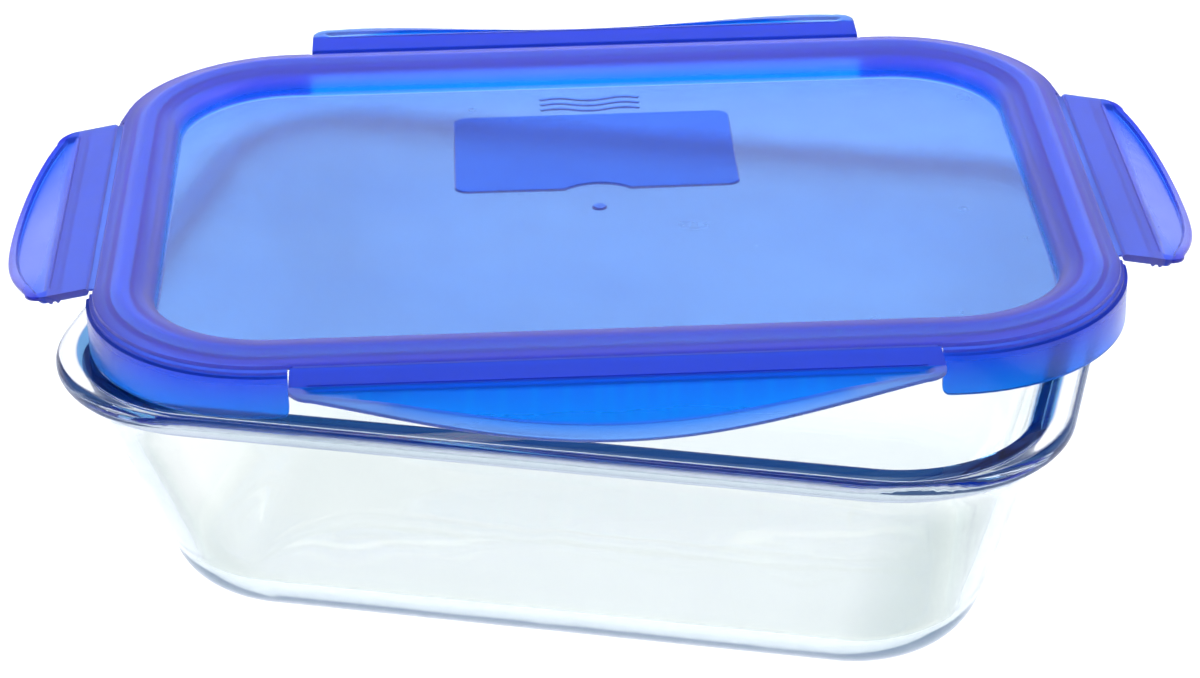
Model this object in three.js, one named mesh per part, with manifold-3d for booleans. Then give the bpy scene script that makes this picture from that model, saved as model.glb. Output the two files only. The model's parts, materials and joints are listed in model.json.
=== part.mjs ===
// Rectangular glass storage dish with a clip-on lid, in millimetres, +Z up.
// The origin is the centre of the dish's flat base. The lid lies loose on the rim, turned and
// shifted from its closed place, with its four flaps unclipped.
import * as THREE from "three";
import { mergeVertices } from "three/addons/utils/BufferGeometryUtils.js";
import Module from "manifold-3d";

// Glass dish
const RIM_LENGTH = 240;
const RIM_WIDTH = 180;
const RIM_RADIUS = 42;
const DISH_HEIGHT = 66.5;
const RIM_THICKNESS = 4.4;
const RIM_OVERHANG = 7.2;
const WALL_THICKNESS = 3.9;
const WALL_DRAFT = THREE.MathUtils.degToRad(16);
const BODY_RADIUS = 31;
const BASE_FILLET = 20;
const BASE_RADIUS = 16;
const FLOOR_THICKNESS = 5;
const INNER_FILLET = 15.5;
const LIP_RADIUS = 2.6;
const LIP_STEPS = 3;
// The cove between the wall and the rim's underside, as points: how far inside the overhang,
// how far below the rim, and how much larger the corner radius is than the body's.
const RIM_COVE = [[1.5, 2.2, 0], [-1.1, 0.4, 1]];

// Lid moulding
const SKIRT_CLEARANCE = 1;
const SKIRT_THICKNESS = 1.5;
const SKIRT_HEIGHT = 10.4;
const SKIRT_END_RADIUS = 2;
const SKIRT_ROOT_INSET = 3;
const SKIRT_ROOT_HEIGHT = 1.2;
// Two fine steps from the skirt's face up to the ring's edge, as points: the share of the
// edge's inset, and the rise above the skirt.
const SKIRT_STEPS = [[0.4, 0.5], [0.4, 1.2], [0.8, 1.6], [1, 2.1]];
const LID_LENGTH = RIM_LENGTH + 2 * (SKIRT_CLEARANCE + SKIRT_THICKNESS);
const LID_WIDTH = RIM_WIDTH + 2 * (SKIRT_CLEARANCE + SKIRT_THICKNESS);
const LID_RADIUS = RIM_RADIUS + SKIRT_CLEARANCE + SKIRT_THICKNESS;
const EDGE_INSET = 1.85;
const EDGE_THICKNESS = 1.8;
const EDGE_TOP = 12.8;
const EDGE_SLOPE_RUN = 3;
const EDGE_SLOPE_RISE = 0.8;
const RING_TOP = 14.3;
const RING_THICKNESS = 1.7;
const RING_FLAT_WIDTH = 4;
const SHOULDER_RUN = 3;
const SHOULDER_DROP = 2.6;
const WALL_LEAN = 1;
const PANEL_TOP = 6.9;
const PANEL_THICKNESS = 1;
const PANEL_FILLET = 0.6;
const PANEL_INSET = 16.4;
const RIB_BOTTOM = 10.2;
const RIB_WIDTH = 1;
const EAVES_DROP = 0.4;
const PAD_LENGTH = 71;
const PAD_WIDTH = 46;
const PAD_RADIUS = 3;
const PAD_CENTRE_Y = 34;
const PAD_RISE = 0.4;

// Seal in the groove between the two ribs under the ring
const SEAL_OUTER_INSET = 6.3;
const SEAL_INNER_INSET = 10;
const SEAL_BOTTOM = 9.3;
const SEAL_CHAMFER = 1.1;

// Flaps and their living hinges
const LONG_HALF = 73.3;
const SHORT_HALF = 48;
const LONG_REACH = 27.4;
const SHORT_REACH = 25.7;
const HINGE_WIDTH = 1.2;
const WEB_THICKNESS = 0.5;
const WEB_WIDTH = 0.6;
const WEB_END_INSET = 1.5;
const FLAT_DEPTH = 10.5;
const END_DEPTH = 11.5;
const CORNER_RADIUS = 5;
const TAB_BEND = THREE.MathUtils.degToRad(23);
const TAB_BEND_EASE = 1;
const TIP_ROUNDING = 0.5;
const TIP_ROUNDING_SHARE = 0.15;
const POCKET_DEPTH = 0.8;
const POCKET_LEAST_SHARE = 0.05;
const POCKET_SHORTEST = 1.2;
const POCKET_RAMP = 0.8;
const POCKET_RAMP_SHARE = 0.2;
const BORDER_WIDTH = 4.5;
const BORDER_SHARE = 0.4;
const BEAD_RADIUS = 0.75;
const BEAD_DEPTHS = [8.2, 9.9];
const WINDOW_GAP = 0.6;

// How the loose lid lies on the rim
const GAP = 0.3;
const LID_TURN = THREE.MathUtils.degToRad(15.1);
const LID_SHIFT_X = -6.2;
const LID_SHIFT_Y = 24.7;
const SIDE_DROOP = THREE.MathUtils.degToRad(10);

// Mesh fineness
const CORNER_STEPS = 8;
const FILLET_STEPS = 5;
const NOSE_STEPS = 6;
const EDGE_STEPS = 4;
const FLAP_CORNER_STEPS = 3;
const FLAP_ARC_STEPS = 6;
const BEAD_STEPS = 4;
const SKIRT_END_STEPS = 4;

const wasm = await Module();
wasm.setup();

const hingeHeight = EDGE_TOP - EDGE_THICKNESS / 2;
const hingeInset = EDGE_INSET - HINGE_WIDTH / 2;

// ---- Solids from rings of points ----

// A rounded rectangle of corner arcs, inset from a length by width outline, at one height.
function roundedRing(length, width, inset, radius, z) {
  const ring = [];
  const centreX = length / 2 - inset - radius;
  const centreY = width / 2 - inset - radius;
  const quarters = [[1, 1], [-1, 1], [-1, -1], [1, -1]];
  quarters.forEach(([signX, signY], quarter) => {
    for (let step = 0; step <= CORNER_STEPS; step += 1) {
      const angle = (quarter + step / CORNER_STEPS) * Math.PI / 2;
      ring.push(new THREE.Vector3(
        signX * centreX + radius * Math.cos(angle),
        signY * centreY + radius * Math.sin(angle),
        z,
      ));
    }
  });
  return ring;
}

function signedVolume(points, faces) {
  let volume = 0;
  const cross = new THREE.Vector3();
  for (let i = 0; i < faces.length; i += 3) {
    const [a, b, c] = [points[faces[i]], points[faces[i + 1]], points[faces[i + 2]]];
    volume += a.dot(cross.crossVectors(b, c)) / 6;
  }
  return volume;
}

// Joins rings of equal length into a closed solid. Its ends are flat caps, drawn in the plane
// that flatten gives, or it wraps round so that the last ring meets the first.
function loft(rings, flatten) {
  const count = rings[0].length;
  const points = rings.flat();
  const faces = [];
  const spans = flatten ? rings.length - 1 : rings.length;
  for (let i = 0; i < spans; i += 1) {
    const next = (i + 1) % rings.length;
    for (let j = 0; j < count; j += 1) {
      const a = i * count + j;
      const b = i * count + (j + 1) % count;
      const c = next * count + j;
      const d = next * count + (j + 1) % count;
      faces.push(a, b, d, a, d, c);
    }
  }
  if (flatten) {
    const last = (rings.length - 1) * count;
    THREE.ShapeUtils.triangulateShape(rings[0].map(flatten), []).forEach(([a, b, c]) => {
      faces.push(...sameWay(rings[0].map(flatten), [a, b, c], false));
    });
    THREE.ShapeUtils.triangulateShape(rings.at(-1).map(flatten), []).forEach(([a, b, c]) => {
      faces.push(...sameWay(rings.at(-1).map(flatten), [a, b, c], true).map((k) => k + last));
    });
  }
  if (signedVolume(points, faces) < 0) {
    faces.reverse();
  }
  return solidGeometry(points.flatMap((p) => p.toArray()), faces);
}

// Turns a cap's triangle to run along its outline, or against it.
function sameWay(outline, [a, b, c], along) {
  const [p, q, r] = [outline[a], outline[b], outline[c]];
  const area = (q.x - p.x) * (r.y - p.y) - (r.x - p.x) * (q.y - p.y);
  const turnsWith = (area > 0) === !THREE.ShapeUtils.isClockWise(outline);
  return turnsWith === along ? [a, b, c] : [c, b, a];
}

function solidGeometry(positions, faces) {
  const geometry = new THREE.BufferGeometry();
  geometry.setAttribute("position", new THREE.Float32BufferAttribute(positions, 3));
  geometry.setIndex(faces);
  geometry.computeVertexNormals();
  return geometry;
}

function toManifold(geometry) {
  const plain = geometry.clone();
  plain.deleteAttribute("normal");
  plain.deleteAttribute("uv");
  const merged = mergeVertices(plain, 1e-4);
  return new wasm.Manifold(new wasm.Mesh({
    numProp: 3,
    vertProperties: new Float32Array(merged.attributes.position.array),
    triVerts: new Uint32Array(merged.index.array),
  }));
}

function fromManifold(solid) {
  const mesh = solid.getMesh();
  return solidGeometry(Array.from(mesh.vertProperties), Array.from(mesh.triVerts));
}

function arc(centreA, centreB, radius, fromDegrees, toDegrees, steps) {
  return Array.from({ length: steps + 1 }, (_, step) => {
    const angle = THREE.MathUtils.degToRad(fromDegrees + (toDegrees - fromDegrees) * step / steps);
    return [centreA + radius * Math.cos(angle), centreB + radius * Math.sin(angle)];
  });
}

// ---- Glass dish ----

// Half of the dish's section, from the base's edge outside to the floor's edge inside:
// each entry is the inset from the rim's outer edge, the height and the corner radius there.
function dishSection() {
  const draft = THREE.MathUtils.radToDeg(WALL_DRAFT);
  const rise = Math.sin(WALL_DRAFT);
  const run = Math.cos(WALL_DRAFT);
  const slope = rise / run;
  const nose = RIM_THICKNESS / 2;
  const rimUnderside = DISH_HEIGHT - RIM_THICKNESS;
  const groundInset = RIM_OVERHANG + rimUnderside * slope;
  const baseCentre = groundInset + BASE_FILLET * (1 - rise) / run;
  const floorCentreHeight = FLOOR_THICKNESS + INNER_FILLET;
  const floorCentre = groundInset
    + (WALL_THICKNESS + INNER_FILLET - floorCentreHeight * rise) / run;
  const lipHeight = DISH_HEIGHT - LIP_RADIUS;
  const mouthInset = RIM_OVERHANG + WALL_THICKNESS / run + (rimUnderside - lipHeight) * slope;
  const innerRadius = BODY_RADIUS - WALL_THICKNESS;
  const blend = (from, to, step, steps) => from + (to - from) * step / steps;

  const outerFillet = arc(baseCentre, BASE_FILLET, BASE_FILLET, 270, 180 + draft, FILLET_STEPS)
    .map(([inset, z], step) => [inset, z, blend(BASE_RADIUS, BODY_RADIUS, step, FILLET_STEPS)]);
  const cove = RIM_COVE.map(([inside, drop, wider]) => (
    [RIM_OVERHANG + inside, rimUnderside - drop, BODY_RADIUS + wider]
  ));
  const rimNose = arc(nose, DISH_HEIGHT - nose, nose, 270, 90, NOSE_STEPS)
    .map(([inset, z]) => [inset, z, RIM_RADIUS - inset]);
  const lip = arc(mouthInset - LIP_RADIUS, lipHeight, LIP_RADIUS, 90, draft, LIP_STEPS)
    .map(([inset, z], step) => {
      const mouthChange = blend(0, innerRadius - (RIM_RADIUS - mouthInset), step, LIP_STEPS);
      return [inset, z, RIM_RADIUS - inset + mouthChange];
    });
  const innerFillet = arc(floorCentre, floorCentreHeight, INNER_FILLET, 180 + draft, 270, FILLET_STEPS)
    .map(([inset, z], step) => [inset, z, blend(innerRadius, BASE_RADIUS, step, FILLET_STEPS)]);
  return [...outerFillet, ...cove, ...rimNose, ...lip, ...innerFillet];
}

function glassDish() {
  const rings = dishSection().map(([inset, z, radius]) => (
    roundedRing(RIM_LENGTH, RIM_WIDTH, inset, radius, z)
  ));
  return loft(rings, (point) => new THREE.Vector2(point.x, point.y));
}

// ---- Lid moulding ----

function lidRing([inset, z]) {
  return roundedRing(LID_LENGTH, LID_WIDTH, inset, Math.max(LID_RADIUS - inset, 1), z);
}

// The lid's cover without its skirts, from the panel's top out over the ring and back below.
function coverSection() {
  const ringBottom = RING_TOP - RING_THICKNESS;
  const wallTop = PANEL_INSET - WALL_LEAN;
  const wallFoot = PANEL_INSET - PANEL_THICKNESS;
  const panelBottom = PANEL_TOP - PANEL_THICKNESS;
  const top = [
    [PANEL_INSET + WALL_LEAN, PANEL_TOP],
    [PANEL_INSET, PANEL_TOP + PANEL_FILLET],
    [wallTop, RING_TOP - SHOULDER_DROP],
    [wallTop - SHOULDER_RUN / 3, RING_TOP - SHOULDER_DROP / 3],
    [wallTop - SHOULDER_RUN, RING_TOP],
    [wallTop - SHOULDER_RUN - RING_FLAT_WIDTH, RING_TOP],
    [EDGE_INSET + EDGE_SLOPE_RUN, EDGE_TOP + EDGE_SLOPE_RISE],
  ];
  const edgeCentre = EDGE_INSET + EDGE_THICKNESS / 2;
  const edge = arc(edgeCentre, hingeHeight, EDGE_THICKNESS / 2, 90, 270, EDGE_STEPS);
  const grooveOutside = SEAL_OUTER_INSET - GAP;
  const grooveInside = SEAL_INNER_INSET + GAP;
  const below = [
    [grooveOutside - RIB_WIDTH, ringBottom - EAVES_DROP],
    [grooveOutside - RIB_WIDTH, RIB_BOTTOM],
    [grooveOutside, RIB_BOTTOM],
    [grooveOutside, ringBottom],
    [grooveInside, ringBottom],
    [grooveInside, RIB_BOTTOM],
    [grooveInside + RIB_WIDTH, RIB_BOTTOM],
    [grooveInside + RIB_WIDTH, ringBottom],
    [wallFoot - 2 * WALL_LEAN, RING_TOP - SHOULDER_DROP],
    [wallFoot - WALL_LEAN, ringBottom - SHOULDER_DROP],
    [wallFoot, panelBottom + PANEL_FILLET],
    [wallFoot + WALL_LEAN, panelBottom],
  ];
  return [...top, ...edge, ...below];
}

// The skirt that hangs round the rim, with two fine steps up to the ring's edge.
function skirtSection() {
  const steps = SKIRT_STEPS.map(([share, rise]) => [share * EDGE_INSET, SKIRT_HEIGHT + rise]);
  const rootTop = steps.at(-1)[1];
  return [
    [SKIRT_THICKNESS, 0],
    [0, 0],
    [0, SKIRT_HEIGHT],
    ...steps,
    [SKIRT_ROOT_INSET, rootTop],
    [SKIRT_ROOT_INSET, rootTop - SKIRT_ROOT_HEIGHT],
    [SKIRT_THICKNESS, SKIRT_HEIGHT],
  ];
}

// The opening in the skirt that one flap hangs in, seen square on, with its foot flared so
// that the skirt's ends have round lower corners.
function windowCutter(half, outward) {
  const depth = 6;
  const below = -1;
  const above = EDGE_TOP + 2;
  const foot = half + SKIRT_END_RADIUS;
  const shape = new THREE.Shape();
  shape.moveTo(foot, below);
  shape.lineTo(foot, 0);
  shape.absarc(foot, SKIRT_END_RADIUS, SKIRT_END_RADIUS, -Math.PI / 2, -Math.PI, true);
  shape.lineTo(half, above);
  shape.lineTo(-half, above);
  shape.absarc(-foot, SKIRT_END_RADIUS, SKIRT_END_RADIUS, 0, -Math.PI / 2, true);
  shape.lineTo(-foot, below);
  const settings = { depth, bevelEnabled: false, curveSegments: SKIRT_END_STEPS };
  const geometry = new THREE.ExtrudeGeometry(shape, settings);
  geometry.rotateX(Math.PI / 2);
  geometry.translate(0, outward + depth / 2, 0);
  return geometry;
}

function lidMoulding() {
  const cover = toManifold(loft(
    coverSection().map(lidRing),
    (point) => new THREE.Vector2(point.x, point.y),
  ));
  let skirt = toManifold(loft(skirtSection().map(lidRing), null));
  for (const side of flapSides()) {
    const cutter = windowCutter(side.half + WINDOW_GAP, side.edge);
    cutter.rotateZ(side.turn);
    skirt = skirt.subtract(toManifold(cutter));
  }
  const pad = loft(
    [PANEL_TOP - PANEL_THICKNESS / 2, PANEL_TOP + PAD_RISE].map((z) => (
      roundedRing(PAD_LENGTH, PAD_WIDTH, 0, PAD_RADIUS, z)
    )),
    (point) => new THREE.Vector2(point.x, point.y),
  );
  pad.translate(0, PAD_CENTRE_Y, 0);
  return fromManifold(cover.add(skirt).add(toManifold(pad)));
}

// ---- Seal ----

function sealRing() {
  const top = RING_TOP - RING_THICKNESS - GAP;
  const section = [
    [SEAL_OUTER_INSET, top],
    [SEAL_OUTER_INSET, SEAL_BOTTOM + SEAL_CHAMFER],
    [SEAL_OUTER_INSET + SEAL_CHAMFER, SEAL_BOTTOM],
    [SEAL_INNER_INSET - SEAL_CHAMFER, SEAL_BOTTOM],
    [SEAL_INNER_INSET, SEAL_BOTTOM + SEAL_CHAMFER],
    [SEAL_INNER_INSET, top],
  ];
  return loft(section.map(lidRing), null);
}

// ---- Flaps ----

// The four sides: half the hinge's length, the flap's reach from the hinge, how far the lid's
// skirt face and the hinge axis are from the lid's centre, the turn about +Z, and the droop.
function flapSides() {
  const long = { half: LONG_HALF, reach: LONG_REACH, edge: LID_WIDTH / 2, droop: 0 };
  const short = { half: SHORT_HALF, reach: SHORT_REACH, edge: LID_LENGTH / 2, droop: SIDE_DROOP };
  return [
    { name: "front", ...long, turn: Math.PI },
    { name: "back", ...long, turn: 0 },
    { name: "left", ...short, turn: Math.PI / 2 },
    { name: "right", ...short, turn: -Math.PI / 2 },
  ];
}

// Where the crescent's outer edge is at a place along the hinge: round corners, then one arc.
function outlineStations(half, reach) {
  const cornerStart = half - CORNER_RADIUS;
  const cornerReach = END_DEPTH + CORNER_RADIUS;
  const corner = arc(cornerStart, END_DEPTH, CORNER_RADIUS, 0, 90, FLAP_CORNER_STEPS);
  const crescent = Array.from({ length: FLAP_ARC_STEPS }, (_, step) => {
    const along = cornerStart * (1 - (step + 1) / FLAP_ARC_STEPS);
    return [along, reach - (reach - cornerReach) * (along / cornerStart) ** 2];
  });
  const oneSide = [...corner, ...crescent];
  const otherSide = oneSide.slice(0, -1).reverse().map(([along, depth]) => [-along, depth]);
  return [...oneSide, ...otherSide];
}

// How far the tab curves down beyond the flap's flat part: most at the middle, none at the ends.
function tabDrop(along, depth, half) {
  const beyond = Math.max(depth - FLAT_DEPTH, 0);
  const share = 1 - (along / half) ** 2;
  return Math.tan(TAB_BEND) * share * beyond ** 2 / (beyond + TAB_BEND_EASE);
}

// One cross-section of a flap: root, flat part, pocket, raised border, tip and two beads below.
function flapSection(along, depth, half) {
  const skin = EDGE_THICKNESS / 2;
  const rootCentre = HINGE_WIDTH / 2 + skin;
  const pocketStart = Math.min(FLAT_DEPTH, depth - POCKET_SHORTEST);
  const space = depth - pocketStart;
  const ramp = Math.min(POCKET_RAMP, space * POCKET_RAMP_SHARE);
  const border = Math.min(BORDER_WIDTH, space * BORDER_SHARE);
  const rounding = Math.min(TIP_ROUNDING, space * TIP_ROUNDING_SHARE);
  const fromEnd = (half - Math.abs(along)) / CORNER_RADIUS;
  const pocketFade = THREE.MathUtils.clamp(fromEnd, POCKET_LEAST_SHARE, 1);
  const pocketFloor = skin - POCKET_DEPTH * pocketFade;
  const bead = (centre) => arc(centre, -skin, BEAD_RADIUS, 360, 180, BEAD_STEPS);
  const outline = [
    ...arc(rootCentre, 0, skin, 270, 90, EDGE_STEPS),
    [pocketStart, skin],
    [pocketStart + ramp, pocketFloor],
    [depth - border - ramp, pocketFloor],
    [depth - border, skin],
    [depth - rounding, skin],
    [depth, skin - rounding],
    [depth, rounding - skin],
    [depth - rounding, -skin],
    ...bead(BEAD_DEPTHS[1]),
    ...bead(BEAD_DEPTHS[0]),
  ];
  return outline.map(([out, up]) => (
    new THREE.Vector3(along, out, up - tabDrop(along, out, half))
  ));
}

function flap({ half, reach }) {
  const sections = outlineStations(half, reach).map(([along, depth]) => (
    flapSection(along, depth, half)
  ));
  return loft(sections, (point) => new THREE.Vector2(point.y, point.z));
}

function hingeWeb({ half }) {
  return new THREE.BoxGeometry(2 * (half - WEB_END_INSET), WEB_WIDTH, WEB_THICKNESS);
}

// ---- Assembly ----

const glass = { color: 0xe9f1ee, roughness: 0.05, metalness: 0, transparent: true, opacity: 0.35 };
const bluePlastic = { color: 0x2f5fe6, roughness: 0.35, metalness: 0 };
const paleSeal = { color: 0xd9dde2, roughness: 0.7, metalness: 0 };

function named(name, geometry, finish) {
  const mesh = new THREE.Mesh(geometry, new THREE.MeshStandardMaterial(finish));
  mesh.name = name;
  return mesh;
}

const storageDish = new THREE.Group();
storageDish.add(named("glass_dish", glassDish(), glass));

const lid = new THREE.Group();
lid.position.set(LID_SHIFT_X, LID_SHIFT_Y, DISH_HEIGHT + GAP);
lid.rotation.z = LID_TURN;
lid.add(named("lid", lidMoulding(), bluePlastic));
lid.add(named("seal", sealRing(), paleSeal));
for (const side of flapSides()) {
  const edge = new THREE.Group();
  edge.rotation.z = side.turn;
  const hinge = new THREE.Group();
  hinge.position.set(0, side.edge - hingeInset, hingeHeight);
  hinge.add(named(`hinge_web_${side.name}`, hingeWeb(side), bluePlastic));
  const latch = named(`latch_${side.name}`, flap(side), bluePlastic);
  latch.rotation.x = -side.droop;
  hinge.add(latch);
  edge.add(hinge);
  lid.add(edge);
}
storageDish.add(lid);

export default storageDish;
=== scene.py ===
"""Glass storage dish with a loose clip-on lid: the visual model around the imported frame. Metres, +Z up."""

import json
import math

import bmesh
import bpy
from mathutils import Matrix, Vector
from mathutils.geometry import delaunay_2d_cdt


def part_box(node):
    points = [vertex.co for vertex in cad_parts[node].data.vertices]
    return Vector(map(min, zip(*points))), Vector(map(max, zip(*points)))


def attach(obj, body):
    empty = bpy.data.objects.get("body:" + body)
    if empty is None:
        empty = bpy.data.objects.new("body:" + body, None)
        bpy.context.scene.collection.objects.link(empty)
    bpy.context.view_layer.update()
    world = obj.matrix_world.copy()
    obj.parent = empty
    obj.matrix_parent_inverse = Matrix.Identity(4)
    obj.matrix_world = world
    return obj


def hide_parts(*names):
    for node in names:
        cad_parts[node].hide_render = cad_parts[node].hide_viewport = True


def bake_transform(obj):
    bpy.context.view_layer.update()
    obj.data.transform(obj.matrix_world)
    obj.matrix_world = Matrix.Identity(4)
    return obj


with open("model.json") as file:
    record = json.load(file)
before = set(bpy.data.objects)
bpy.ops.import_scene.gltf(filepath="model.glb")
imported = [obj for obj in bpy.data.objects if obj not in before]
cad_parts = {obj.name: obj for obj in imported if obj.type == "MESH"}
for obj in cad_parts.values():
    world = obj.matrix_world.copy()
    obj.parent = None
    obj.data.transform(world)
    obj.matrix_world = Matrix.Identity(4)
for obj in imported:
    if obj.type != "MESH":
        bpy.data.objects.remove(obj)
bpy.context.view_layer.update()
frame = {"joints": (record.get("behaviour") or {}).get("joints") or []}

MM = 0.001
SHARP_ANGLE = math.radians(38)

# ---- Camera ----
CAMERA_TARGET = Vector((-0.0009, -0.0002, 0.0501))
CAMERA_AZIMUTH = math.radians(13.24)
CAMERA_ELEVATION = math.radians(26.99)
CAMERA_DISTANCE = 0.9126
CAMERA_ROLL = math.radians(-1.09)
CAMERA_LENS = 112.1
CAMERA_SENSOR = 36

# ---- Studio ----
BACKDROP_COLOUR = (0.96, 0.96, 0.97, 1)
FAR_FLOOR = (0.5, 1.1)  # metres from the object's middle, where the floor turns into the backdrop
FLOOR_HALF = 6.0
FLOOR_DROP = 0.0004  # keeps the floor clear of the dish's base
FLOOR_ROUGHNESS = 0.7
FLOOR_COLOURS = ((0.0, (0.93, 0.93, 0.93)), (1.0, (0.95, 0.95, 0.95)))
FLOOR_CLOUD_SCALE = 3
SKY_COLOURS = (  # by the height of the direction
    (0.0, (1.0, 0.97, 1.0)),
    (0.16, (0.6, 0.58, 0.62)),
    (0.32, (0.2, 0.2, 0.27)),
    (0.7, (0.03, 0.06, 0.17)),
)
SKY_STRENGTHS = (0.45, 1.9)  # in front and behind
SKY_FRONT_TO_BACK = (-0.2, 0.75)  # the direction's Y at each
LAMP_AIM = (0, 0, 0.05)
LAMPS = (  # name, place, aim, size, watts, and whether it shows in gloss and through the glass
    ("overhead", (0.0, 0.1, 1.2), (0, 0, 0), (1.3, 1.2), 23.5, False),
    ("left_box", (-1.2, -0.5, 0.7), LAMP_AIM, (0.4, 0.9), 4, True),
    ("right_box", (1.2, 0.0, 0.6), LAMP_AIM, (0.4, 0.9), 4, True),
    ("back_left_box", (-0.8, 1.1, 0.5), LAMP_AIM, (0.5, 0.4), 3, False),
    ("back_right_box", (0.8, 1.1, 0.5), LAMP_AIM, (0.5, 0.4), 3, False),
)

# ---- Dish: the section of the glass, as on the CAD dish ----
DISH_LOW, DISH_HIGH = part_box("glass_dish")
RIM_LENGTH = DISH_HIGH.x - DISH_LOW.x
RIM_WIDTH = DISH_HIGH.y - DISH_LOW.y
DISH_HEIGHT = DISH_HIGH.z
RIM_RADIUS = 42 * MM
RIM_THICKNESS = 4.4 * MM
RIM_OVERHANG = 7.2 * MM
WALL_THICKNESS = 3.9 * MM
WALL_DRAFT = math.radians(16)
BODY_RADIUS = 31 * MM
BASE_FILLET = 20 * MM
BASE_RADIUS = 16 * MM
FLOOR_THICKNESS = 5 * MM
INNER_FILLET = 15.5 * MM
LIP_RADIUS = 2.6 * MM
NECK_RADIUS = 3.2 * MM
NECK_TUCK = 0.55  # how far out the neck's centre is, as a share of its radius

# ---- Lid: its place from the hinge joints, its section as on the CAD lid ----
JOINTS = {joint["name"]: joint for joint in frame["joints"]}
HINGES = {side: JOINTS["hinge_" + side] for side in ("front", "back", "left", "right")}
EDGE_INSET = 1.85 * MM
EDGE_THICKNESS = 1.8 * MM
EDGE_TOP = 12.8 * MM
HINGE_WIDTH = 1.2 * MM
HINGE_INSET = EDGE_INSET - HINGE_WIDTH / 2
HINGE_HEIGHT = EDGE_TOP - EDGE_THICKNESS / 2
LID_RADIUS = RIM_RADIUS + 2.5 * MM
LEAST_RADIUS = 1 * MM
RING_TOP = 14.3 * MM
RING_THICKNESS = 1.7 * MM
PANEL_TOP = 6.9 * MM
PANEL_THICKNESS = 1.0 * MM
PANEL_INSET = 16.4 * MM
RIB_BOTTOM = 10.2 * MM
RIB_WIDTH = 1 * MM
GAP = 0.3 * MM
SEAL_OUTER_INSET = 6.3 * MM
SEAL_INNER_INSET = 10 * MM
SEAL_BOTTOM = 9.3 * MM
SEAL_ROUNDNESS = 0.6  # how deep the seal's round foot is, as a share of half its width

# Profiles: (millimetres in from a line, millimetres up from a height)
PANEL_EDGE_PROFILE = ((0.5, 0.0), (0.12, 0.1), (-0.05, 0.5), (-0.4, 2.6))
SHOULDER_PROFILE = ((-0.8, -3.3), (-1.6, -2.0), (-3.1, -0.95), (-5.2, -0.3), (-8.0, 0.0))
OUTER_SLOPE_PROFILE = ((4.5, 1.05), (1.8, 0.2))
OUTER_RIB_ROOT = ((-0.3, -0.4), (0.0, -0.8))
INNER_RIB_ROOT = ((0.0, -0.2),)
WALL_BACK_PROFILE = ((-2.2, -2.4), (-1.2, -4.0))
WALL_FOOT_PROFILE = ((-0.3, 1.4), (0.2, 0.3), (1.2, 0.0))

# ---- Skirts at the lid's corners ----
SKIRT_THICKNESS = 1.5 * MM
SKIRT_HEIGHT = 10.4 * MM
SKIRT_END_RADIUS = 2 * MM
SKIRT_END_ANGLES = (0, 18, 36, 54, 72, 90)
SKIRT_FOOT_RADIUS = 0.4 * MM
SKIRT_ROOT_INSET = 3 * MM
SKIRT_FOOT_PROFILE = ((0.0, 0.2), (-0.3, 0.0))
SKIRT_HEAD_PROFILE = ((0.0, -0.5), (0.12, -0.2))
SKIRT_ROOT_PROFILE = ((0.0, -0.1), (0.0, -1.4))
STEP_WIDTH = EDGE_INSET / 2 - 0.1 * MM
STEP_HEIGHTS = (SKIRT_HEIGHT - 0.2 * MM, SKIRT_HEIGHT + 1.0 * MM)
STEP_SOFTNESS = 0.12 * MM
WINDOW_GAP = 0.6 * MM

# ---- Flaps ----
FLAP_HALF = {"front": 73.3 * MM, "back": 73.3 * MM, "left": 48 * MM, "right": 48 * MM}
FLAP_REACH = {"front": 27.4 * MM, "back": 27.4 * MM, "left": 25.7 * MM, "right": 25.7 * MM}
FLAP_DROOP = {"front": 0.0, "back": 0.0, "left": math.radians(10), "right": math.radians(10)}
FLAP_BORDER = {"front": 4.5 * MM, "back": 4.5 * MM, "left": 2.2 * MM, "right": 2.2 * MM}
FLAT_DEPTH = 10.5 * MM
END_DEPTH = 11.5 * MM
FLAP_CORNER = 5 * MM
FLAP_STATIONS = 48
TAB_BEND = math.radians(23)
TAB_BEND_EASE = 1 * MM
TAB_THICKNESS = 1.0 * MM
TAB_LEAST = 1.2 * MM
POCKET_DEPTH = 0.9 * MM
POCKET_RAMP = 1.6 * MM
POCKET_LAND = 0.06  # share of the tab between its groove and the pocket's ramp
POCKET_FADE = 0.6 * MM  # run over which the pocket ends at a flap's ends
POCKET_END = 0.75  # where it ends, as a share of the corner's radius
POCKET_LEAST = 0.02  # share of its depth that is left there
GROOVE_DEPTH = 0.3 * MM
GROOVE_PROFILE = ((-3.0, 0.0), (-0.55, 0.0), (-0.3, 1.0), (-0.05, 0.2))  # millimetres out, share of the depth
BORDER_STEP = 0.7 * MM
BORDER_STEP_PROFILE = ((-1.1, 0.0), (-0.85, 0.12), (-0.15, 0.88), (0.15, 1.0))  # shares of its run and rise
HOLLOW_STEP = 0.15  # share of the border's step by which the hollow below starts early
TIP_ROUNDING = 0.45 * MM
RAMP_SHARE, STEP_SHARE, BORDER_SHARE, ROUNDING_SHARE = 0.2, 0.1, 0.4, 0.15  # the most each takes of the tab
BEAD_RADIUS = 0.5 * MM
BEAD_DEPTHS = (8.2 * MM, 9.9 * MM)
BEAD_MARGIN = 0.3 * MM
BEAD_TO_END = 60 * MM  # on flaps with a longer half length the beads fade out before the ends
BEAD_FADE = 2 * MM
BEAD_LEAST = 0.1
WEB_THICKNESS = 0.5 * MM
WEB_OVERLAP = 0.25 * MM
WEB_END_GAP = 0.6 * MM

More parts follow.
